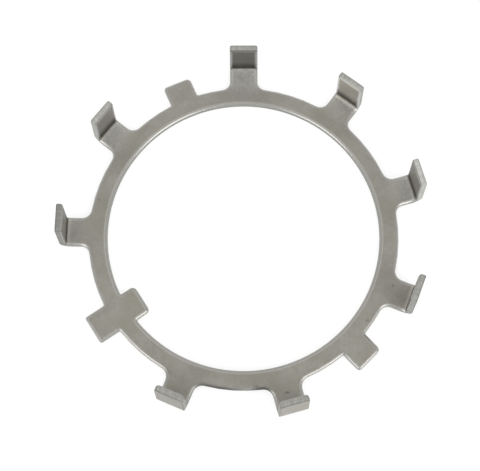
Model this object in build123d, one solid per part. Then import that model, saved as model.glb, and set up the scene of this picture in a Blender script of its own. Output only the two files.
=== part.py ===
from build123d import *
import math
import os

# Spindle lock nut washer: a ring blanked from steel sheet, with one key in its bore,
# eight lock tabs bent up from its rim and three short tabs left flat.
# Origin: centre of the bore, on the face that the washer lies on. +Z is up, towards the
# tabs. The key stands on the -Y side, and the YZ plane is the plane of symmetry.
# Millimetres and degrees.

# ---- sheet ---------------------------------------------------------------------------
sheet_thickness = 1.2
edge_bevel_width = 0.22     # along the upper edges, which blanking turns down

# ---- ring ----------------------------------------------------------------------------
bore_diameter = 51.3
ring_width = 3.5

# ---- lock tabs, bent up --------------------------------------------------------------
lock_tab_pitch_angle = 37.4  # angle between neighbours in a group
group_gap_angle = 52.5      # wider angle, where a short tab stands
neck_length = 3.95          # from the rim to the bend line
lock_tab_width = 5.45
lock_tab_tip_width = 5.1
lock_tab_height = 12.0      # over the lower face
lock_tab_lean = 9.0         # how far past square it is bent, towards the nut
bend_inner_radius = 0.3
bend_outer_radius = 2.1     # large for this inner radius: the sheet thins as it bends
lock_tab_corner = 0.5
lock_tab_root = 1.75

# ---- short tabs, flat ----------------------------------------------------------------
short_tab_angle = 79.8      # either side of the direction opposite the key
short_tab_width = 5.55
short_tab_length = 3.9
short_tab_round_corner = 0.9
short_tab_sharp_corner = 0.6

# ---- key, and the short tab behind it --------------------------------------------------
key_width = 5.6
key_reach = 3.15            # how far it stands into the bore
key_corner = 0.85
key_tab_width = 5.55
key_tab_length = 4.0
key_tab_corner = 0.4

flat_tab_root = 0.35        # all tabs that stay flat, and the key

# ---- worked out from the sizes above ---------------------------------------------------
bore_radius = bore_diameter / 2
rim_radius = bore_radius + ring_width
mid_ring_radius = bore_radius + ring_width / 2
bend_line = rim_radius + neck_length
bend_angle = 90 + lock_tab_lean
half_bend_tan = math.tan(math.radians(bend_angle / 2))
neck_end = bend_line - (bend_outer_radius - sheet_thickness) * half_bend_tan

opposite_key = 90
key_direction = opposite_key - 180
first_offset = lock_tab_pitch_angle / 2
third_offset = first_offset + lock_tab_pitch_angle + group_gap_angle
lock_tab_offsets = [
    first_offset,
    first_offset + lock_tab_pitch_angle,
    third_offset,
    third_offset + lock_tab_pitch_angle,
]

TINY = 1e-4                 # sizes this close are the same
LEFT, RIGHT = 1, -1         # of a direction, seen from above
lock_tab_angles = [opposite_key + side * offset for offset in lock_tab_offsets for side in (LEFT, RIGHT)]


def turned(shape, angle):
    """The shape, drawn along +X, turned about the bore's axis."""
    return Rot(0, 0, angle) * shape


def polar_point(radius, across, angle):
    """A point at that radius along a direction, and that far to its left."""
    return Vector(radius, across, 0).rotate(Axis.Z, angle)


def strip(inner_end, outer_end, width, angle):
    """A flat strip of sheet between two radii along a direction."""
    centre = Pos((inner_end + outer_end) / 2, 0)
    return turned(centre * Rectangle(outer_end - inner_end, width), angle)


def round_at(sheet, points, radius):
    """Round the corners of the sheet that lie at the points."""
    nearest = [min(sheet.vertices(), key=lambda v: (Vector(*v) - point).length) for point in points]
    return fillet(nearest, radius)


def corners(radius, width, angle):
    """The left and right ends of a line across a direction, at that radius."""
    return [polar_point(radius, side * width / 2, angle) for side in (LEFT, RIGHT)]


def roots(circle_radius, width, angle):
    """Where the two sides of a tab cross a circle."""
    along = math.sqrt(circle_radius**2 - (width / 2) ** 2)
    return corners(along, width, angle)


def blank():
    """The flat washer, with the necks of the lock tabs cut off where their bends start."""
    sheet = Circle(rim_radius)
    for angle in lock_tab_angles:
        sheet += strip(mid_ring_radius, neck_end, lock_tab_width, angle)
    lock_roots = [p for angle in lock_tab_angles for p in roots(rim_radius, lock_tab_width, angle)]
    sheet = round_at(sheet, lock_roots, lock_tab_root)

    short_end = rim_radius + short_tab_length
    short_angles = [opposite_key + side * short_tab_angle for side in (LEFT, RIGHT)]
    for angle in short_angles:
        sheet += strip(mid_ring_radius, short_end, short_tab_width, angle)
    key_tab_end = rim_radius + key_tab_length
    sheet += strip(mid_ring_radius, key_tab_end, key_tab_width, key_direction)
    flat_roots = [p for angle in short_angles for p in roots(rim_radius, short_tab_width, angle)]
    flat_roots += roots(rim_radius, key_tab_width, key_direction)
    sheet = round_at(sheet, flat_roots, flat_tab_root)

    # The corner of a short tab that faces away from the key is the rounder one.
    (towards_left, away_left), (away_right, towards_right) = [
        corners(short_end, short_tab_width, angle) for angle in short_angles
    ]
    sheet = round_at(sheet, [away_left, away_right], short_tab_round_corner)
    sheet = round_at(sheet, [towards_left, towards_right], short_tab_sharp_corner)
    sheet = round_at(sheet, corners(key_tab_end, key_tab_width, key_direction), key_tab_corner)

    sheet -= Circle(bore_radius)
    key_end = bore_radius - key_reach
    sheet += strip(key_end, mid_ring_radius, key_width, key_direction)
    sheet = round_at(sheet, roots(bore_radius, key_width, key_direction), flat_tab_root)
    sheet = round_at(sheet, corners(key_end, key_width, key_direction), key_corner)
    return extrude(sheet, sheet_thickness)


def bent_tab():
    """One lock tab from the end of its neck, drawn along +X: its bend, then its wall."""
    down = -90
    inner_start = bend_line - bend_inner_radius * half_bend_tan
    inner_centre = (inner_start, sheet_thickness + bend_inner_radius)
    outer_arc = CenterArc((neck_end, bend_outer_radius), bend_outer_radius, down, bend_angle)
    inner_arc = CenterArc(inner_centre, bend_inner_radius, down, bend_angle)
    up_wall = outer_arc % 1
    bend_end = outer_arc @ 1
    through_wall = Vector(-up_wall.Y, up_wall.X) * sheet_thickness
    neck_face = (neck_end, sheet_thickness)
    outline = Curve() + [
        outer_arc,
        Polyline(bend_end, bend_end + through_wall, inner_arc @ 1),
        inner_arc,
        Polyline(inner_arc @ 0, neck_face, outer_arc @ 0),
    ]
    bend = extrude(Plane.XZ * make_face(outline), lock_tab_width / 2, both=True)

    wall_length = (lock_tab_height - bend_end.Y) / up_wall.Y
    feet = [(side * lock_tab_width / 2, 0) for side in (LEFT, RIGHT)]
    tips = [(side * lock_tab_tip_width / 2, wall_length) for side in (RIGHT, LEFT)]
    wall = make_face(Polyline(*feet, *tips, close=True))
    wall = round_at(wall, [Vector(*tip) for tip in tips], lock_tab_corner)
    outer_face = Plane(
        origin=(bend_end.X, 0, bend_end.Y),
        x_dir=(0, 1, 0),
        z_dir=(up_wall.Y, 0, -up_wall.X),
    )
    return bend + extrude(outer_face * wall, -sheet_thickness)


def is_upper(face):
    """Whether a face is on the upper side of the sheet, which faces the nut on a bent tab."""
    centre = face.center()
    if face.geom_type == GeomType.CYLINDER:
        lies_level = abs(face.axis_of_rotation.direction.Z) < TINY
        return lies_level and abs(face.radius - bend_inner_radius) < TINY
    normal = face.normal_at(centre)
    to_axis = -Vector(centre.X, centre.Y).normalized()
    faces_nut = centre.Z > sheet_thickness + TINY and normal.dot(to_axis) > normal.Z
    return faces_nut or abs(centre.Z - sheet_thickness) < TINY


def bevelled(washer):
    """The washer with the edges round the upper side of its sheet bevelled."""
    edges = [edge for face in washer.faces() if is_upper(face) for edge in face.edges()]
    outline = [edge for edge in edges if sum(edge.is_same(other) for other in edges) == 1]
    return washer.chamfer(edge_bevel_width, None, outline)


def main():
    washer = blank()
    tab = bent_tab()
    for angle in lock_tab_angles:
        washer += turned(tab, angle)
    washer = bevelled(washer.solid())
    os.makedirs("parts", exist_ok=True)
    export_step(washer, "parts/lock_washer.step")
    print("volume", washer.volume, "faces", len(washer.faces()), "solids", len(washer.solids()))
    print(washer.bounding_box())
    return washer


if __name__ == "__main__":
    main()
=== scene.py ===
"""Looks for a spindle lock nut washer: one ring of stamped steel with a key in its bore,
eight lock tabs bent up from its rim and three short tabs left flat.

The washer is drawn as its flat blank, given the edges that a blanking die leaves, and then
bent up tab by tab, as the real one is. Sizes are in millimetres and degrees until a mesh is
written, which is in metres in the part's own frame.
"""

from __future__ import annotations

import logging
import math
from dataclasses import dataclass, field
from enum import Enum
from typing import Callable, Iterable

import bmesh
import bpy
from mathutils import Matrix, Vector

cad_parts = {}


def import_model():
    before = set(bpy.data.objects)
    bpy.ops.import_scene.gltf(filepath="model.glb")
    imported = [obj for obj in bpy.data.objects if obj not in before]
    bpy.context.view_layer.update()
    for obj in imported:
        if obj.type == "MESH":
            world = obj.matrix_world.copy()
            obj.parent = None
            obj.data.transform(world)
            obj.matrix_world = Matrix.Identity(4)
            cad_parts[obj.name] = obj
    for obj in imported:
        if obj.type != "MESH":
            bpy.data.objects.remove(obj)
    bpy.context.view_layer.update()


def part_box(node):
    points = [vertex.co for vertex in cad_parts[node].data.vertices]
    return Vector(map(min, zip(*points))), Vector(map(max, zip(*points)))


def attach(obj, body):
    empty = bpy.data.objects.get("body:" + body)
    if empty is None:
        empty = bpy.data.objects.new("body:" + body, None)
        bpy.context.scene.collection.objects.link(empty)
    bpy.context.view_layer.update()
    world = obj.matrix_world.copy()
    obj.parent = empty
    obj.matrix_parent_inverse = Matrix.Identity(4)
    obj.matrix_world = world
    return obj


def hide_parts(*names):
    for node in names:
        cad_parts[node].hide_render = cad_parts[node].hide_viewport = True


LOG = logging.getLogger("lock_washer")
MM = 0.001
BORE = 51.3 / 2
RIM = BORE + 3.5
MIDDLE = 27.0
NODE = "lock_washer"


# ---- shader maths ----------------------------------------------------------------------


class Signal:
    """One output socket of a shader node, which takes part in Python arithmetic."""

    def __init__(self, tree: "ShaderTree", socket: bpy.types.NodeSocket) -> None:
        """Wrap a socket of the tree."""
        self.tree = tree
        self.socket = socket

    def _math(self, operation: str, *values: "Value") -> "Signal":
        """Add a Math node for an operation on values.

        Args:
            operation: the Math node's operation.
            values: its inputs in order.

        Returns:
            The node's result.
        """
        inputs = dict(enumerate(values))
        return self.tree.node("ShaderNodeMath", {"operation": operation}, inputs)

    def __add__(self, other: "Value") -> "Signal":
        """This value plus another."""
        return self._math("ADD", self, other)

    def __radd__(self, other: "Value") -> "Signal":
        """Another value plus this one."""
        return self._math("ADD", other, self)

    def __sub__(self, other: "Value") -> "Signal":
        """This value less another."""
        return self._math("SUBTRACT", self, other)

    def __rsub__(self, other: "Value") -> "Signal":
        """Another value less this one."""
        return self._math("SUBTRACT", other, self)

    def __mul__(self, other: "Value") -> "Signal":
        """This value times another."""
        return self._math("MULTIPLY", self, other)

    def __rmul__(self, other: "Value") -> "Signal":
        """Another value times this one."""
        return self._math("MULTIPLY", other, self)

    def __truediv__(self, other: "Value") -> "Signal":
        """This value over another."""
        return self._math("DIVIDE", self, other)

    def at_least(self, other: "Value") -> "Signal":
        """The larger of this value and another."""
        return self._math("MAXIMUM", self, other)

    def at_most(self, other: "Value") -> "Signal":
        """The smaller of this value and another."""
        return self._math("MINIMUM", self, other)

    def step_up(self, low: float, high: float) -> "Signal":
        """A smooth step over this value.

        Args:
            low: where the step is still 0.
            high: where it has reached 1. It may lie below low, for a step down.

        Returns:
            A value from 0 to 1.
        """
        inputs = {"Value": self, "From Min": low, "From Max": high}
        settings = {"interpolation_type": "SMOOTHSTEP"}
        return self.tree.node("ShaderNodeMapRange", settings, inputs)


Value = Signal | float
Colour = tuple[float, float, float]


class ShaderTree:
    """The nodes of one material or world."""

    def __init__(self, owner: bpy.types.Material | bpy.types.World) -> None:
        """Empty the node tree of a material or a world and start on it."""
        owner.use_nodes = True
        self.nodes = owner.node_tree.nodes
        self.links = owner.node_tree.links
        self.nodes.clear()

    def node(
        self,
        kind: str,
        settings: dict[str, object] | None = None,
        inputs: dict[str | int, object] | None = None,
        output: str | int = 0,
    ) -> Signal:
        """Add any node.

        Args:
            kind: the node's type.
            settings: its properties, which are set first.
            inputs: a value or a signal for each socket, by name or by number.
            output: the socket that is wanted back.

        Returns:
            That output.
        """
        made = self.nodes.new(kind)
        for name, value in (settings or {}).items():
            setattr(made, name, value)
        for name, value in (inputs or {}).items():
            if isinstance(value, Signal):
                self.links.new(value.socket, made.inputs[name])
            elif isinstance(value, tuple) and len(value) == 3 and made.inputs[name].type == "RGBA":
                made.inputs[name].default_value = (*value, 1.0)
            else:
                made.inputs[name].default_value = value
        return Signal(self, made.outputs[output])

    def mix(self, amount: Value, first: object, second: object) -> Signal:
        """A colour that goes from the first to the second.

        Args:
            amount: 0 for the first, 1 for the second.
            first: a colour or a signal.
            second: a colour or a signal.

        Returns:
            The mixed colour.
        """
        inputs = {0: amount, 6: first, 7: second}
        return self.node("ShaderNodeMix", {"data_type": "RGBA"}, inputs, output=2)

    def noise(self, where: Signal, size: float, detail: float = 2.0, rough: float = 0.5) -> Signal:
        """Cloudy noise from 0 to 1.

        Args:
            where: the coordinates, in millimetres.
            size: the width of one cloud, in millimetres.
            detail: how many finer layers are added.
            rough: how strong these are.

        Returns:
            The noise, which seldom leaves 0.3 to 0.7.
        """
        inputs = {"Vector": where, "Scale": 1.0 / size, "Detail": detail, "Roughness": rough}
        return self.node("ShaderNodeTexNoise", None, inputs)

    def scaled(self, where: Signal, factors: tuple[float, float, float]) -> Signal:
        """The coordinates times a factor along each axis."""
        inputs = {0: where, 1: factors}
        return self.node("ShaderNodeVectorMath", {"operation": "MULTIPLY"}, inputs)

    def brightened(self, colour: Signal, gain: Signal) -> Signal:
        """A colour times a gain."""
        inputs = {0: colour, "Scale": gain}
        return self.node("ShaderNodeVectorMath", {"operation": "SCALE"}, inputs)

    def distance(self, where: Signal, point: tuple[float, float, float]) -> Signal:
        """How far the coordinates are from a point."""
        inputs = {0: where, 1: point}
        return self.node("ShaderNodeVectorMath", {"operation": "DISTANCE"}, inputs, output="Value")

    def finish(self, surface: Signal, kind: str = "ShaderNodeOutputMaterial") -> None:
        """Send a shader to the output of the material or world."""
        made = self.nodes.new(kind)
        self.links.new(surface.socket, made.inputs["Surface"])


# ---- finishes ----------------------------------------------------------------------------


class Trait(Enum):
    """What the mesh tells its material about each point."""

    CUT = "cut"
    ROLL = "roll"
    UPPER = "upper"
    # painted light and shade on the tabs, as a gain on the colour
    PAINTED_LIGHT = "light"
    EDGE_MAP = "edge_map"


@dataclass(frozen=True)
class Mark:
    """One round mark on the steel, in millimetres in the part's frame."""

    x: float
    y: float
    z: float
    radius: float
    strength: float

    @classmethod
    def on_rim(cls, azimuth: float, radius: float, strength: float) -> "Mark":
        """A mark on the ring's rim.

        Args:
            azimuth: its direction from the bore's axis.
            radius: how far it reaches each way.
            strength: how strong it is in the middle.

        Returns:
            The mark.
        """
        turn = math.radians(azimuth)
        return cls(RIM * math.cos(turn), RIM * math.sin(turn), 1.0, radius, strength)

    def amount(self, tree: ShaderTree, where: Signal, ragged: Value = 0.0) -> Signal:
        """How strong the mark is at each point.

        Args:
            tree: the material's nodes.
            where: the coordinates, in millimetres.
            ragged: added to the distance, so that the mark's edge is uneven.

        Returns:
            Its strength at the middle, falling to 0 at its radius.
        """
        away = tree.distance(where, (self.x, self.y, self.z)) + ragged
        return self.strength * away.step_up(self.radius, 0.15 * self.radius)


@dataclass(frozen=True)
class StampedSteel:
    """Matte cold-rolled steel sheet, with sheared walls where the die has cut it.

    Attributes:
        neck_highlights: where a painted highlight lies on the necks of the tabs.
        stains: where grime has dried on the sheet.
        edge_shades: painted shade along the sheet's outer edge only.
        pits: small dark pits.
        crease_foot: heights between which the painted shade in a crease starts.
        crease_fade: heights between which it fades out up the wall.
    """

    flat_light: Colour = (0.383, 0.368, 0.330)
    flat_dark: Colour = (0.298, 0.284, 0.248)
    olive: Colour = (0.312, 0.305, 0.252)
    cut_light: Colour = (0.410, 0.407, 0.383)
    cut_dark: Colour = (0.326, 0.323, 0.299)
    roll: Colour = (0.475, 0.469, 0.440)
    # painted highlight colour for the necks beside the creases
    highlight_colour: Colour = (0.80, 0.79, 0.755)
    # dark colour of grime in stains and pits, also used for painted shade in creases and along the rim's
    # edge
    soil_and_shade: Colour = (0.055, 0.050, 0.044)
    flat_roughness: float = 0.52
    cut_roughness: float = 0.55
    roll_roughness: float = 0.25
    metallic: float = 0.7
    # how dark the painted shade in the creases is
    crease_shade: float = 0.88
    crease_foot: tuple[float, float] = (1.42, 2.1)
    crease_fade: tuple[float, float] = (6.2, 2.6)
    neck_highlights: tuple[Mark, ...] = ()
    stains: tuple[Mark, ...] = ()
    edge_shades: tuple[Mark, ...] = ()
    pits: tuple[Mark, ...] = ()

    def material(self, name: str) -> bpy.types.Material:
        """Build the material.

        Args:
            name: its name.

        Returns:
            The material, which reads the traits that the washer's mesh carries.
        """
        made = bpy.data.materials.new(name)
        tree = ShaderTree(made)
        place = tree.node("ShaderNodeTexCoord", None, None, output="Object")
        where = tree.scaled(place, (1 / MM,) * 3)
        cut, roll, upper, light = [
            self._trait(tree, trait) for trait in (Trait.CUT, Trait.ROLL, Trait.UPPER, Trait.PAINTED_LIGHT)
        ]
        grain = tree.noise(where, 0.50, detail=2.0).step_up(0.30, 0.70)
        height = tree.node("ShaderNodeSeparateXYZ", None, {0: where}, output=2)
        torn = self._torn(tree, height)

        sheared = tree.mix(torn, self.cut_dark, self.cut_light)
        colour = tree.mix(cut, self._sheet_colour(tree, where, grain), sheared)
        colour = tree.mix(roll, colour, self.roll)
        low = height.step_up(*reversed(self.crease_foot))
        # painted highlight on the necks beside the creases, over the painted light and shade of the tabs
        neck_highlights = self._strongest(tree, where, self.neck_highlights) * upper * low * (0.85 + 0.3 * grain)
        colour = tree.mix(neck_highlights, tree.brightened(colour, light), self.highlight_colour)
        # painted shade in the creases and up the foot of each wall
        crease = height.step_up(*self.crease_foot) * height.step_up(*self.crease_fade)
        out = tree.distance(tree.scaled(where, (1.0, 1.0, 0.0)), (0.0, 0.0, 0.0))
        outer_edge = (cut + roll).at_most(1.0) * out.step_up(MIDDLE, RIM - 1.0)
        # painted shade in the creases and along part of the rim's edge, with grime in the stains and
        # pits
        dirt_and_shade = self._dirt_and_shade(tree, where, grain, upper * crease, outer_edge)
        colour = tree.mix(dirt_and_shade, colour, self.soil_and_shade)

        rough = self.flat_roughness + (0.10 * grain - 0.05) * (1.0 - roll)
        rough = rough + (self.cut_roughness - self.flat_roughness) * cut
        rough = rough + (self.roll_roughness - self.flat_roughness) * roll
        rough = (rough + 0.20 * dirt_and_shade).at_most(0.9)

        fine = tree.noise(where, 0.18, detail=1.0)
        relief = 0.5 * fine + 0.5 * grain - 1.5 * dirt_and_shade
        bump = {"Strength": 0.30, "Distance": 0.010 * MM, "Height": relief}
        normal = tree.node("ShaderNodeBump", None, bump)
        shader = tree.node(
            "ShaderNodeBsdfPrincipled",
            None,
            {"Base Color": colour, "Metallic": self.metallic, "Roughness": rough, "Normal": normal},
        )
        tree.finish(shader)
        return made

    def _trait(self, tree: ShaderTree, trait: Trait) -> Signal:
        """The value of a trait at each point."""
        return tree.node("ShaderNodeAttribute", {"attribute_name": trait.value}, None, output="Fac")

    def _sheet_colour(self, tree: ShaderTree, where: Signal, grain: Signal) -> Signal:
        """The mottled colour of the rolled sheet.

        Args:
            tree: the material's nodes.
            where: the coordinates, in millimetres.
            grain: a fine noise.

        Returns:
            The colour.
        """
        clouds = tree.noise(where, 2.6, detail=4.0, rough=0.6).step_up(0.34, 0.66)
        flat = tree.mix(0.45 * clouds + 0.55 * grain, self.flat_dark, self.flat_light)
        oily = tree.noise(where, 7.0, detail=2.0).step_up(0.46, 0.68)
        return tree.mix(0.7 * oily, flat, self.olive)

    def _torn(self, tree: ShaderTree, height: Signal) -> Signal:
        """Scores across the thickness of the sheared wall, from 0 to 1.

        Args:
            tree: the material's nodes.
            height: above the lower face. The scores are faint on the ring, clear on bent tabs.

        Returns:
            Their pattern, about 0.5 in the middle.
        """
        edge_map = tree.node("ShaderNodeUVMap", {"uv_map": Trait.EDGE_MAP.value})
        scores = tree.noise(tree.scaled(edge_map, (1.0, 0.4, 1.0)), 0.5, detail=3.0).step_up(0.3, 0.7)
        return 0.5 + (scores - 0.5) * (0.2 + 0.8 * height.step_up(1.2, 3.0))

    @staticmethod
    def _strongest(
        tree: ShaderTree, where: Signal, marks: tuple[Mark, ...], ragged: Value = 0.0
    ) -> Signal:
        """The strongest of some marks at each point.

        Args:
            tree: the material's nodes.
            where: the coordinates, in millimetres.
            marks: at least one mark.
            ragged: added to the distances, so that the marks' edges are uneven.

        Returns:
            Its strength.
        """
        total = marks[0].amount(tree, where, ragged)
        for mark in marks[1:]:
            total = total.at_least(mark.amount(tree, where, ragged))
        return total

    def _dirt_and_shade(
        self, tree: ShaderTree, where: Signal, grain: Signal, crease: Signal, edge: Signal
    ) -> Signal:
        """Painted shade in the creases, up the walls and along the rim's edge, and grime in the stains
        and pits.

        Args:
            tree: the material's nodes.
            where: the coordinates, in millimetres.
            grain: a fine noise, which makes the edges of the marks uneven.
            crease: how near the foot of a wall it is, on the wall's inner side.
            edge: how far it belongs to the sheet's outer edge.

        Returns:
            0 on clean steel, towards 1 in the deepest pit.
        """
        # painted shade in the creases and up the foot of each wall
        soil_and_shade = crease * (self.crease_shade - 0.08 + 0.16 * grain)
        stains = self._strongest(tree, where, self.stains, 0.5 * grain - 0.25)
        # painted shade along the rim's outer edge
        rim_shade = self._strongest(tree, where, self.edge_shades, 0.5 * grain - 0.25) * edge
        pits = self._strongest(tree, where, self.pits, 0.2 * grain - 0.1)
        return soil_and_shade.at_least(stains).at_least(rim_shade).at_least(pits)


@dataclass(frozen=True)
class PaleFloor:
    """A matte floor or backdrop that shows as white and keeps the object's shadow.

    Attributes:
        colour: how much light it throws back.
        shown: how much is added where it is looked at, straight or in the steel.
    """

    colour: Colour = (0.36, 0.36, 0.36)
    shown: float = 0.74

    def material(self, name: str) -> bpy.types.Material:
        """Build the material.

        Args:
            name: its name.

        Returns:
            The material: plain matte for light that it passes on, and white to look at.
        """
        made = bpy.data.materials.new(name)
        tree = ShaderTree(made)
        matte = tree.node("ShaderNodeBsdfDiffuse", None, {"Color": self.colour})
        ways = ("Is Camera Ray", "Is Glossy Ray", "Is Transmission Ray")
        seen, mirrored, through = [
            tree.node("ShaderNodeLightPath", None, None, output=way) for way in ways
        ]
        looked_at = seen.at_least(mirrored).at_least(through)
        glow = tree.node("ShaderNodeEmission", None, {"Color": (self.shown,) * 3, "Strength": 1.0})
        lit = tree.node("ShaderNodeAddShader", None, {0: matte, 1: glow})
        tree.finish(tree.node("ShaderNodeMixShader", None, {0: looked_at, 1: matte, 2: lit}))
        return made


# ---- the sheet and its outline -------------------------------------------------------------


@dataclass(frozen=True)
class Ring:
    """One closed cut line round the blank, or round its bore.

    Attributes:
        inset: how far into the metal it lies from the widest line.
        height: above the lower face of the sheet.
        cut: how much of the sheared finish it has.
        roll: how much of the rolled edge's finish it has.
        upper: how far it belongs to the upper side of the sheet.
        shade: how light it is on the bent tabs.
    """

    inset: float
    height: float
    cut: float = 0.0
    roll: float = 0.0
    upper: float = 0.0
    shade: float = 1.0


@dataclass
class Sheet:
    """The steel sheet and the edges that blanking leaves on it.

    The die pulls the upper side down into a wide rolled edge. Below it the sheared wall is
    slightly crowned, and the lower corner is blunt.
    """

    thickness: float = 1.2
    roll_width: float = 0.60
    roll_height: float = 0.26
    roll_steep: float = 42.0
    nose_radius: float = 0.09
    nose_steps: int = 4
    roll_steps: int = 6
    blunt_width: float = 0.09
    blunt_height: float = 0.12
    blunt_steps: int = 3
    blunt_shade: float = 0.72
    crown: float = 0.03
    wall_steps: int = 5
    flat_margin: float = 0.06

    def rings(self) -> list[Ring]:
        """The cut lines of the sheet's edge.

        Returns:
            Them from the lower face up, round the edge and on to the upper face.
        """
        rise, steep = self.nose_radius, math.radians(self.roll_steep)
        nose_width = rise * (1 - math.sin(steep))
        nose_height = rise * math.cos(steep)
        low, high = self.blunt_height, self.thickness - self.roll_height - nose_height
        rings = [Ring(self.crown + self.blunt_width + self.flat_margin, 0.0)]
        for step in range(self.blunt_steps):
            turn = math.radians(90 * step / self.blunt_steps)
            inset = self.crown + self.blunt_width * (1 - math.sin(turn))
            cut = step / self.blunt_steps
            rings.append(Ring(inset, low * (1 - math.cos(turn)), cut, shade=self.blunt_shade))
        for step in range(self.wall_steps + 1):
            part = step / self.wall_steps
            inset = self.crown * (2 * part - 1) ** 2
            shade = self.blunt_shade if step == 0 else 1.0
            rings.append(Ring(inset, low + (high - low) * part, 1.0, shade=shade))
        for step in range(1, self.nose_steps + 1):
            part = step / self.nose_steps
            turn = (math.pi / 2 - steep) * part
            inset = self.crown + rise * (1 - math.cos(turn))
            rings.append(Ring(inset, high + rise * math.sin(turn), 1 - part, part))
        for step in range(1, self.roll_steps + 1):
            part = step / self.roll_steps
            inset = self.crown + nose_width + self.roll_width * part
            height = high + nose_height + self.roll_height * (1 - (1 - part) ** 2)
            rings.append(Ring(inset, height, 0.0, 1 - part**2, part))
        inset += self.flat_margin
        rings.append(Ring(inset, self.thickness, upper=1.0))
        return rings


@dataclass
class Spot:
    """One corner of the blank's outline, on the flat sheet.

    Attributes:
        x: along the part's X.
        y: along the part's Y.
        tab: the number of the lock tab that it is on, or -1.
        station: its number along that tab's side, from the neck out, or -1.
        side: 1 on the left side of the tab, -1 on the right, 0 elsewhere.
    """

    x: float
    y: float
    tab: int = -1
    station: int = -1
    side: int = 0


@dataclass
class Bend:
    """How one lock tab leaves the flat: an outer arc, a tight crease and a leaning wall.

    Inside the crease the squeezed metal stands up in a low lip.
    """

    bend_line: float = 33.1
    height: float = 12.0
    lean: float = 9.0
    inner_radius: float = 0.12
    outer_radius: float = 2.1
    thickness: float = 1.2
    lip: float = 0.18
    lip_length: float = 1.8
    # how far back from the crease the painted highlight on the lip reaches
    lip_shine: float = 1.2
    crease_steps: int = 8
    wall_steps: int = 5

    def __post_init__(self) -> None:
        """Work out where the bend starts and ends."""
        self.angle = math.radians(90 + self.lean)
        reach = math.tan(self.angle / 2)
        self.start = self.bend_line - (self.outer_radius - self.thickness) * reach
        self.crease_start = self.bend_line - self.inner_radius * reach
        self.up = Vector((math.cos(self.angle), math.sin(self.angle)))
        self.across = Vector((-self.up.y, self.up.x))
        self.outer_end = self._arc(self.start, self.outer_radius, self.outer_radius, self.angle)
        self.wall = (self.height - self.outer_end.y) / self.up.y
        self.length = self.outer_radius * self.angle
        self.run = self.crease_start - self.start
        self.crease = self.inner_radius * self.angle
        self.tight = self.run / (2 * self.run + self.crease)

    @staticmethod
    def _arc(x: float, z: float, radius: float, turn: float) -> Vector:
        """The point a turn along an arc that starts level, under its centre (x, z)."""
        return Vector((x + radius * math.sin(turn), z - radius * math.cos(turn)))

    def stations(self) -> list[float]:
        """Where the sides of the unbent tab have corners.

        Returns:
            Their distances from the axis, from the neck out.
        """
        before = [self.crease_start - self.lip_length * part for part in (1.0, 0.83, 0.67)]
        tight = self.tight
        parts = [tight * part for part in (0.0, 0.25, 0.5, 0.72, 0.88, 1.0)]
        parts += [tight + (1 - 2 * tight) * k / self.crease_steps for k in range(1, self.crease_steps)]
        parts += [1 - tight * part for part in (1.0, 0.67, 0.33, 0.0)]
        bending = [self.start + self.length * part for part in parts]
        walls = [bending[-1] + self.wall * k / self.wall_steps for k in range(1, self.wall_steps)]
        return before + bending + walls

    def nearness(self, station: int) -> float:
        """How near a station of the neck is to the crease.

        Args:
            station: its number.

        Returns:
            1 beside the crease, 0 away from it and past it.
        """
        before = self.start + self.length * self.tight - self.stations()[station]
        return min(1.0, 1.3 * max(0.0, 1 - before / self.lip_shine)) if before > -0.001 else 0.0

    @property
    def end(self) -> float:
        """The tip of the unbent tab, from the axis."""
        return self.start + self.length + self.wall

    def is_standing(self, along: float) -> bool:
        """Whether a point of the unbent tab is past the middle of the bend."""
        return along > self.start + self.length / 2

    def _lift(self, away: float) -> float:
        """How far the upper side stands up at a distance before the crease."""
        near = min(max(1 - away / self.lip_length, 0.0), 1.0)
        return self.lip * near * near

    def _inner(self, part: float) -> Vector:
        """A point of the inner skin.

        Args:
            part: how far round the bend it is, from 0 to 1.

        Returns:
            Its distance from the axis and its height.
        """
        along = part * (2 * self.run + self.crease)
        level = self.thickness
        if along <= self.run:
            return Vector((self.start + along, level + self._lift(self.run - along)))
        middle = min(along - self.run, self.crease)
        turn = middle / self.inner_radius
        point = self._arc(self.crease_start, level + self.inner_radius, self.inner_radius, turn)
        point.y += self.lip * (1 - middle / self.crease)
        return point + self.up * (along - self.run - middle)

    def place(self, along: float, level: float) -> Vector:
        """Bend one point of the sheet.

        Args:
            along: its distance from the axis on the flat blank.
            level: its height in the sheet.

        Returns:
            Its distance from the axis and its height once bent.
        """
        share = level / self.thickness
        if along <= self.start:
            return Vector((along, level + share * self._lift(self.crease_start - along)))
        if along <= self.start + self.length:
            part = (along - self.start) / self.length
            outer = self._arc(self.start, self.outer_radius, self.outer_radius, part * self.angle)
            return outer.lerp(self._inner(part), share)
        outer = self.outer_end + self.up * (along - self.start - self.length)
        return outer + self.across * level


@dataclass(frozen=True)
class PaintedLight:
    """The painted light and shade on one lock tab next to clean sheet, place by place.

    Attributes:
        neck: how strong the painted highlight on the neck beside the crease is.
        inner: painted light and shade on the inner side of its wall.
        edge: painted light and shade on its sheared edges.
        outer: painted light and shade on the outer side of its wall.
        lip: the painted highlight on the squeezed edge along the crease.
    """

    neck: float = 0.0
    lip: float = 1.22
    inner: float = 1.0
    edge: float = 1.0
    outer: float = 1.2


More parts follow.
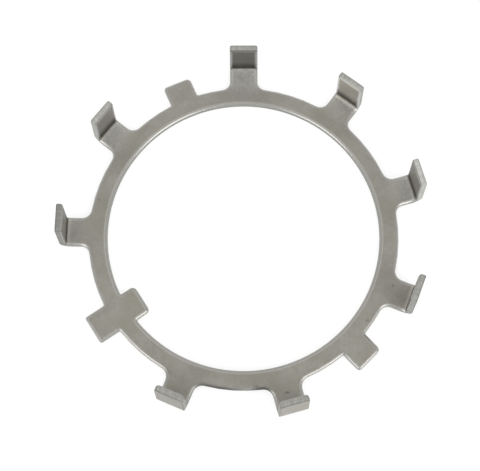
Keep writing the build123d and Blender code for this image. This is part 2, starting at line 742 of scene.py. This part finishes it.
@dataclass
class LockTab:
    """One lock tab of the blank, before it is bent."""

    angle: float
    number: int
    bend: Bend
    width: float = 5.45
    tip_width: float = 5.1
    root: float = 1.75
    tip_corner: float = 0.5
    painted_light: PaintedLight = PaintedLight()

    def half(self, along: float) -> float:
        """Half the tab's width at a distance from the axis on the flat blank."""
        up_wall = max(0.0, along - self.bend.start - self.bend.length) / self.bend.wall
        return (self.width + (self.tip_width - self.width) * up_wall) / 2

    def side(self, rim: float, inset: float) -> list[tuple[float, float, int]]:
        """The left half of the tab's outline from the rim out.

        Args:
            rim: the radius of the ring's rim.
            inset: how far the line lies into the metal.

        Returns:
            For each corner its distance along the tab, to its left, and its station.
        """
        rim -= inset
        half, root = self.width / 2 - inset, self.root + inset
        centre = (math.sqrt((rim + root) ** 2 - (half + root) ** 2), half + root)
        low = math.atan2(centre[1], centre[0])
        points = []
        for k in range(9):
            turn = low + math.pi + (math.pi / 2 - low) * k / 8
            points.append((centre[0] + root * math.cos(turn), centre[1] + root * math.sin(turn), -1))
        for station, along in enumerate(self.bend.stations()):
            points.append((along, self.half(along) - inset, station))
        corner = max(self.tip_corner - inset, 0.01)
        middle = self.bend.end - inset - corner
        across = self.half(self.bend.end) - inset - corner
        for k in range(7):
            turn = math.radians(90 - 90 * k / 6)
            points.append((middle + corner * math.cos(turn), across + corner * math.sin(turn), -2))
        return points

    def outline(self, rim: float, inset: float) -> list[Spot]:
        """The tab's outline from its right root round its tip to its left root.

        Args:
            rim: the radius of the ring's rim.
            inset: how far the line lies into the metal.

        Returns:
            The corners, on the flat sheet.
        """
        left = self.side(rim, inset)
        spots = [self._spot(along, -across, station, -1) for along, across, station in left]
        spots += [self._spot(along, across, station, 1) for along, across, station in reversed(left)]
        return spots

    def _spot(self, along: float, across: float, station: int, side: int) -> Spot:
        """A corner of the tab on the flat sheet.

        Args:
            along: its distance from the axis along the tab.
            across: its distance to the left of the tab's middle.
            station: its number along the tab's side.
            side: 1 on the left side, -1 on the right.

        Returns:
            The corner at its place in the part's frame.
        """
        turn = math.radians(self.angle)
        x = along * math.cos(turn) - across * math.sin(turn)
        y = along * math.sin(turn) + across * math.cos(turn)
        return Spot(x, y, self.number, station, side)

    def light(self, spot: Spot, ring: Ring) -> float:
        """The painted light and shade at a point of the tab next to clean sheet, as set for the tab.

        Args:
            spot: its place on the blank's outline.
            ring: the cut line that it is on.

        Returns:
            A gain on its colour.
        """
        stations = self.bend.stations()
        at_tip = spot.station == -2
        if not at_tip and (spot.station < 0 or not self.bend.is_standing(stations[spot.station])):
            near = self.bend.nearness(spot.station) if spot.station >= 0 else 0.0
            # painted highlight on the lip beside the crease
            return 1 + (self.painted_light.lip - 1) * near * ring.upper**2
        # painted light and shade on the tab's walls and edges, with its rolled edges kept darker than
        # the ring's
        side = self.painted_light.inner if ring.height > self.bend.thickness / 2 else self.painted_light.outer
        side *= 1 - 0.25 * ring.roll
        return ring.shade * (ring.cut * self.painted_light.edge + (1 - ring.cut) * side)

    def neck_highlight_mark(self) -> Mark:
        """The painted highlight on the neck beside the crease.

        Returns:
            A mark round the middle of the crease.
        """
        turn, along = math.radians(self.angle), self.bend.bend_line
        height, radius = self.bend.thickness, 6.4
        return Mark(along * math.cos(turn), along * math.sin(turn), height, radius, self.painted_light.neck)

    def bent(self, spot: Vector, level: float) -> Vector:
        """Where a corner of the flat sheet lies once the tab is bent.

        Args:
            spot: its place on the flat sheet.
            level: its height in the sheet.

        Returns:
            Its place in the part's frame, in millimetres.
        """
        turn = math.radians(self.angle)
        outward = Vector((math.cos(turn), math.sin(turn)))
        leftward = Vector((-outward.y, outward.x))
        along, across = spot.dot(outward), spot.dot(leftward)
        place = self.bend.place(along, level)
        flat = outward * place.x + leftward * across
        return Vector((flat.x, flat.y, place.y))


@dataclass
class FlatTab:
    """One short tab that stays flat, or the key, which stands inward."""

    angle: float
    width: float
    reach: float
    left_corner: float
    right_corner: float
    root: float = 0.35
    inward: bool = False

    def outline(self, circle: float, inset: float) -> list[Spot]:
        """The tab's outline, with the metal on the left as it is followed.

        Args:
            circle: the radius of the circle that the tab stands on.
            inset: how far the line lies into the metal.

        Returns:
            The corners, from root to root.
        """
        facing = -1 if self.inward else 1
        edge = circle - facing * inset
        half, root = self.width / 2 - inset, self.root + inset
        foot = edge + facing * root
        centre = (math.sqrt(foot**2 - (half + root) ** 2), half + root)
        low = math.atan2(centre[1], centre[0])
        end = circle + facing * (self.reach - inset)
        halves = []
        for corner in (self.right_corner, self.left_corner):
            corner = max(corner - inset, 0.01)
            points = []
            first, last = (low, -math.pi / 2) if self.inward else (low + math.pi, 3 * math.pi / 2)
            for k in range(5):
                turn = first + (last - first) * k / 4
                points.append((centre[0] + root * math.cos(turn), centre[1] + root * math.sin(turn)))
            for k in range(6):
                turn = math.radians(90 - 90 * k / 5)
                along = end - facing * corner * (1 - math.cos(turn))
                points.append((along, half - corner * (1 - math.sin(turn))))
            halves.append(points)
        right, left = halves
        path = [(along, -across) for along, across in right] + list(reversed(left))
        if self.inward:
            path.reverse()
        turn = math.radians(self.angle)
        cos, sin = math.cos(turn), math.sin(turn)
        return [Spot(a * cos - c * sin, a * sin + c * cos) for a, c in path]


# ---- the washer ------------------------------------------------------------------------------


@dataclass
class LockWasher:
    """The whole washer, one piece of bent sheet."""

    offsets: tuple[float, ...] = (18.7, 56.1, 108.6, 146.0)
    short_tab_angle: float = 79.8
    rim_step: float = 2.2
    bore_step: float = 1.5
    sheet: Sheet = field(default_factory=Sheet)
    bend: Bend = field(default_factory=Bend)
    stains: tuple[Mark, ...] = (
        Mark(14.1, -26.3, 1.2, 2.4, 0.16),
        Mark(25.3, -14.1, 0.8, 1.3, 0.50),
        Mark(26.2, -12.9, 0.8, 1.0, 0.40),
    )
    # painted shade along part of the rim's outer edge
    edge_shades: tuple[Mark, ...] = (Mark.on_rim(316.5, 7.0, 0.80), Mark.on_rim(333.0, 3.1, 0.84))
    pits: tuple[Mark, ...] = (
        Mark(28.84, -9.8, 1.2, 0.36, 0.60),
        Mark(28.70, -10.03, 1.2, 0.26, 0.45),
        Mark(-20.53, -19.27, 1.2, 0.36, 0.30),
        Mark(26.27, 9.45, 1.2, 0.40, 0.32),
        Mark(26.42, 9.65, 1.2, 0.35, 0.25),
        Mark(23.77, 17.3, 1.2, 0.38, 0.28),
        Mark(-11.49, 30.69, 9.0, 0.50, 0.35),
    )

    def __post_init__(self) -> None:
        """Lay out the tabs round the ring."""
        places = [side * offset for offset in self.offsets for side in (1, -1)]
        self.lock_tabs = [
            LockTab((90 + place) % 360, number, self.bend, painted_light=self._painted_light(place))
            for number, place in enumerate(places)
        ]
        self.flat_tabs = [
            FlatTab(90 + self.short_tab_angle, 5.55, 3.9, left_corner=0.6, right_corner=0.9),
            FlatTab(90 - self.short_tab_angle, 5.55, 3.9, left_corner=0.9, right_corner=0.6),
            FlatTab(270, 5.55, 4.0, left_corner=0.4, right_corner=0.4),
        ]
        self.key = FlatTab(270, 5.6, 3.15, left_corner=0.85, right_corner=0.85, inward=True)

    @staticmethod
    def _painted_light(place: float) -> PaintedLight:
        """The painted light and shade of one lock tab.

        Args:
            place: its angle from the side across from the key.

        Returns:
            Its own painted light and shade, or plain gains where none is listed.
        """
        # gains of painted light and shade for each tab, by its place
        painted = {
            18.7: PaintedLight(neck=0.44, lip=2.8, inner=1.48, edge=1.15),
            -18.7: PaintedLight(neck=0.40, lip=1.5, inner=0.88, edge=1.60),
            56.1: PaintedLight(neck=0.75, lip=1.5, inner=0.58, edge=1.07),
            108.6: PaintedLight(neck=0.50, lip=1.7, inner=0.95, edge=1.28),
            146.0: PaintedLight(neck=0.22, lip=1.6, inner=0.93, edge=0.82),
            -56.1: PaintedLight(lip=1.5, outer=1.15, edge=1.08),
            -108.6: PaintedLight(lip=1.9, edge=1.05),
            -146.0: PaintedLight(lip=1.6, edge=1.06, outer=1.05),
        }
        return painted.get(place, PaintedLight())

    def outer_line(self, inset: float) -> list[Spot]:
        """The outline round the rim and all its tabs.

        Args:
            inset: how far the line lies into the metal.

        Returns:
            Its corners, counter-clockwise.
        """
        tabs = sorted([*self.lock_tabs, *self.flat_tabs], key=lambda tab: tab.angle)
        pieces = [tab.outline(RIM, inset) for tab in tabs]
        return self._joined(pieces, RIM - inset, self.rim_step)

    def bore_line(self, inset: float) -> list[Spot]:
        """The outline of the bore and its key, clockwise."""
        key = self.key.outline(BORE, inset)
        return self._joined([key], BORE + inset, self.bore_step, clockwise=True)

    @staticmethod
    def _joined(
        pieces: list[list[Spot]], radius: float, step: float, clockwise: bool = False
    ) -> list[Spot]:
        """Join the outlines of the tabs with arcs of a circle.

        Args:
            pieces: the tabs' outlines in order round the circle.
            radius: the circle's radius.
            step: about how long one side of the arcs is.
            clockwise: whether the pieces run that way round.

        Returns:
            The closed outline.
        """
        line: list[Spot] = []
        way = -1 if clockwise else 1
        for piece, following in zip(pieces, pieces[1:] + pieces[:1]):
            line += piece
            start = math.atan2(piece[-1].y, piece[-1].x)
            stop = math.atan2(following[0].y, following[0].x)
            sweep = (way * (stop - start)) % (2 * math.pi)
            count = max(2, round(sweep * MIDDLE / step))
            for k in range(1, count):
                turn = start + way * sweep * k / count
                line.append(Spot(radius * math.cos(turn), radius * math.sin(turn)))
        return line

    def _place(self, spot: Spot, level: float) -> Vector:
        """Put a corner of the flat sheet where it lies on the bent washer.

        Args:
            spot: its place on the blank's outline.
            level: its height in the sheet.

        Returns:
            Its place in the part's frame, in millimetres.
        """
        if spot.tab >= 0:
            return self.lock_tabs[spot.tab].bent(Vector((spot.x, spot.y)), level)
        return Vector((spot.x, spot.y, level))

    def build(self) -> bpy.types.Object:
        """Build the washer's mesh, dress it and put it in the scene.

        Returns:
            The washer.
        """
        mesh = bpy.data.meshes.new("washer")
        bm = bmesh.new()
        rings = self.sheet.rings()
        outer, outer_spots = self._edge_band(bm, rings, self.outer_line)
        inner, inner_spots = self._edge_band(bm, rings, self.bore_line)
        for row, upward in ((0, False), (-1, True)):
            self._face(bm, outer[row], outer_spots, inner[row], upward)
        bmesh.ops.recalc_face_normals(bm, faces=bm.faces)
        bm.to_mesh(mesh)
        bm.free()
        mesh.shade_smooth()
        mesh.set_sharp_from_angle(angle=math.radians(35))
        washer = bpy.data.objects.new("washer", mesh)
        bpy.context.scene.collection.objects.link(washer)
        # painted highlights on the necks beside the creases
        neck_highlight_marks = tuple(tab.neck_highlight_mark() for tab in self.lock_tabs if tab.painted_light.neck)
        finish = StampedSteel(
            neck_highlights=neck_highlight_marks, stains=self.stains, edge_shades=self.edge_shades, pits=self.pits
        )
        mesh.materials.append(finish.material("stamped_steel"))
        weighted = washer.modifiers.new("even_faces", "WEIGHTED_NORMAL")
        weighted.keep_sharp = True
        return washer

    def _edge_band(
        self, bm: bmesh.types.BMesh, rings: list[Ring], line: Callable[[float], list[Spot]]
    ) -> tuple[list[list[bmesh.types.BMVert]], list[Spot]]:
        """Build the cut edge of the sheet along one outline.

        Args:
            bm: the mesh.
            rings: the cut lines from the lower face up.
            line: gives the outline at an inset.

        Returns:
            The vertices of each ring, and the spots of the outline.
        """
        floats, uvs = bm.verts.layers.float, bm.loops.layers.uv
        cut, roll, upper, light = [
            floats.get(trait.value) or floats.new(trait.value)
            for trait in (Trait.CUT, Trait.ROLL, Trait.UPPER, Trait.PAINTED_LIGHT)
        ]
        uv = uvs.get(Trait.EDGE_MAP.value) or uvs.new(Trait.EDGE_MAP.value)
        rows = []
        for ring in rings:
            row = []
            for spot in line(ring.inset):
                vertex = bm.verts.new(self._place(spot, ring.height) * MM)
                vertex[cut], vertex[roll], vertex[upper] = ring.cut, ring.roll, ring.upper
                # painted light and shade on the tabs, as a gain on the colour
                vertex[light] = self.lock_tabs[spot.tab].light(spot, ring) if spot.tab >= 0 else 1.0
                row.append(vertex)
            rows.append(row)
        spots = line(0.0)
        along = [0.0]
        for here, there in zip(spots, spots[1:] + spots[:1]):
            along.append(along[-1] + math.hypot(there.x - here.x, there.y - here.y))
        count = len(spots)
        for (low, low_ring), (high, high_ring) in zip(zip(rows, rings), zip(rows[1:], rings[1:])):
            for k in range(count):
                following = (k + 1) % count
                face = bm.faces.new((low[k], low[following], high[following], high[k]))
                heights = (low_ring, low_ring, high_ring, high_ring)
                places = (along[k], along[k + 1], along[k + 1], along[k])
                for loop, ring, place in zip(face.loops, heights, places):
                    loop[uv].uv = (place, ring.height + ring.inset)
        return rows, spots

    def _face(
        self,
        bm: bmesh.types.BMesh,
        outer: list[bmesh.types.BMVert],
        spots: list[Spot],
        inner: list[bmesh.types.BMVert],
        upward: bool,
    ) -> None:
        """Close one face of the sheet: its tabs as ladders of quads, its ring as triangles.

        Args:
            bm: the mesh.
            outer: the face's outer vertices.
            spots: the spots that they stand for.
            inner: the face's vertices round the bore.
            upward: whether it is the upper face.
        """
        gone: set[int] = set()
        bridges = []
        for tab in self.lock_tabs:
            steps = len(self.bend.stations())
            rights = {s.station: k for k, s in enumerate(spots) if s.tab == tab.number and s.side < 0}
            lefts = {s.station: k for k, s in enumerate(spots) if s.tab == tab.number and s.side > 0}
            for step in range(steps - 1):
                quad = (rights[step], rights[step + 1], lefts[step + 1], lefts[step])
                bm.faces.new([outer[k] for k in quad])
            tip = range(rights[steps - 1], lefts[steps - 1] + 1)
            bm.faces.new([outer[k] for k in tip])
            gone.update(range(rights[0] + 1, lefts[0]))
            bridges.append((rights[0], lefts[0]))
        kept = [k for k in range(len(outer)) if k not in gone]
        edges = []
        for here, there in zip(kept, kept[1:] + kept[:1]):
            edges.append(self._edge(bm, outer[here], outer[there]))
        for here, there in zip(inner, inner[1:] + inner[:1]):
            edges.append(self._edge(bm, here, there))
        bmesh.ops.triangle_fill(bm, use_beauty=True, edges=edges, normal=(0, 0, 1 if upward else -1))

    @staticmethod
    def _edge(
        bm: bmesh.types.BMesh, here: bmesh.types.BMVert, there: bmesh.types.BMVert
    ) -> bmesh.types.BMEdge:
        """The edge between two vertices, made if it isn't there."""
        return bm.edges.get((here, there)) or bm.edges.new((here, there))


# ---- studio --------------------------------------------------------------------------------


@dataclass
class Lamp:
    """One square soft light, aimed at the washer's middle."""

    name: str
    azimuth: float
    elevation: float
    distance: float
    size: float
    strength: float

    def build(self, aim: Vector) -> bpy.types.Object:
        """Hang the light.

        Args:
            aim: the point that it faces.

        Returns:
            The light.
        """
        turn, rise = math.radians(self.azimuth), math.radians(self.elevation)
        away = Vector((math.cos(turn) * math.cos(rise), math.sin(turn) * math.cos(rise), math.sin(rise)))
        data = bpy.data.lights.new(self.name, "AREA")
        data.shape = "SQUARE"
        data.size = self.size
        data.energy = self.strength * math.pi * self.size**2
        lamp = bpy.data.objects.new(self.name, data)
        lamp.location = aim + away * self.distance
        lamp.rotation_mode = "QUATERNION"
        lamp.rotation_quaternion = away.to_track_quat("Z", "Y")
        bpy.context.scene.collection.objects.link(lamp)
        return lamp


@dataclass
class Studio:
    """The pale floor and backdrop, the soft light and the camera."""

    floor_radius: float = 2.5
    backdrop_height: float = 0.6
    sky: float = 0.62
    lamps: tuple[Lamp, ...] = (
        Lamp("left", 281.0, 36.0, 0.5, 0.26, 2.0),
        Lamp("right", 11.0, 36.0, 0.5, 0.28, 2.3),
        Lamp("overhead", 146.0, 75.0, 0.6, 0.50, 0.62),
    )
    camera_place: tuple[float, float, float] = (25.589, -16.778, 131.582)
    camera_turn: tuple[float, float, float] = (12.926, 0.382, 56.296)
    lens: float = 53.49
    floor: PaleFloor = PaleFloor()
    backdrop: PaleFloor = PaleFloor(colour=(0.8, 0.8, 0.8), shown=0.64)

    def build(self, aim: Vector) -> None:
        """Set up the room round the washer.

        Args:
            aim: the middle of the washer, in metres.
        """
        self._lay_floor()
        for lamp in self.lamps:
            lamp.build(aim)
        self._fill_sky()
        self._set_camera()
        bpy.context.scene.view_settings.view_transform = "Standard"

    def _lay_floor(self) -> None:
        """Lay a round floor just under the washer's lower face, with a low backdrop round it."""
        count, radius = 64, self.floor_radius
        turns = [2 * math.pi * k / count for k in range(count)]
        rim = [(radius * math.cos(turn), radius * math.sin(turn), 0.0) for turn in turns]
        top = [(x, y, self.backdrop_height) for x, y, _ in rim]
        sides = [(k, (k + 1) % count, (k + 1) % count + count, k + count) for k in range(count)]
        self._stage("floor", rim, [tuple(range(count))], self.floor)
        self._stage("backdrop", rim + top, sides, self.backdrop)

    @staticmethod
    def _stage(
        name: str,
        points: list[tuple[float, float, float]],
        faces: list[tuple[int, ...]],
        finish: PaleFloor,
    ) -> None:
        """Put one pale piece of the room in the scene.

        Args:
            name: its name.
            points: its corners, in metres.
            faces: the numbers of the corners of each face.
            finish: its finish.
        """
        mesh = bpy.data.meshes.new(name)
        mesh.from_pydata(points, [], faces)
        mesh.materials.append(finish.material(f"pale_{name}"))
        piece = bpy.data.objects.new(name, mesh)
        piece.location.z = -0.02 * MM
        bpy.context.scene.collection.objects.link(piece)

    def _fill_sky(self) -> None:
        """Light the room evenly from all sides."""
        world = bpy.data.worlds.new("room")
        bpy.context.scene.world = world
        tree = ShaderTree(world)
        light = {"Color": (self.sky,) * 3, "Strength": 1.0}
        tree.finish(tree.node("ShaderNodeBackground", None, light), "ShaderNodeOutputWorld")

    def _set_camera(self) -> None:
        """Put the camera over the washer."""
        data = bpy.data.cameras.new("camera")
        data.sensor_width = 36.0
        data.lens = self.lens
        data.clip_start, data.clip_end = 0.005, 40.0
        camera = bpy.data.objects.new("camera", data)
        camera.location = Vector(self.camera_place) * MM
        camera.rotation_euler = [math.radians(turn) for turn in self.camera_turn]
        bpy.context.scene.collection.objects.link(camera)
        bpy.context.scene.camera = camera


def main() -> None:
    """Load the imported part, build the washer and the studio, and report each piece."""
    logging.basicConfig(level=logging.INFO, format="%(name)s: %(message)s")
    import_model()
    washer = LockWasher().build()
    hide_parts(NODE)
    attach(washer, "root")
    LOG.info("washer: %d faces", len(washer.data.polygons))
    low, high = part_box(NODE)
    Studio().build((low + high) / 2)
    LOG.info("studio is set")


if __name__ == "__main__":
    main()
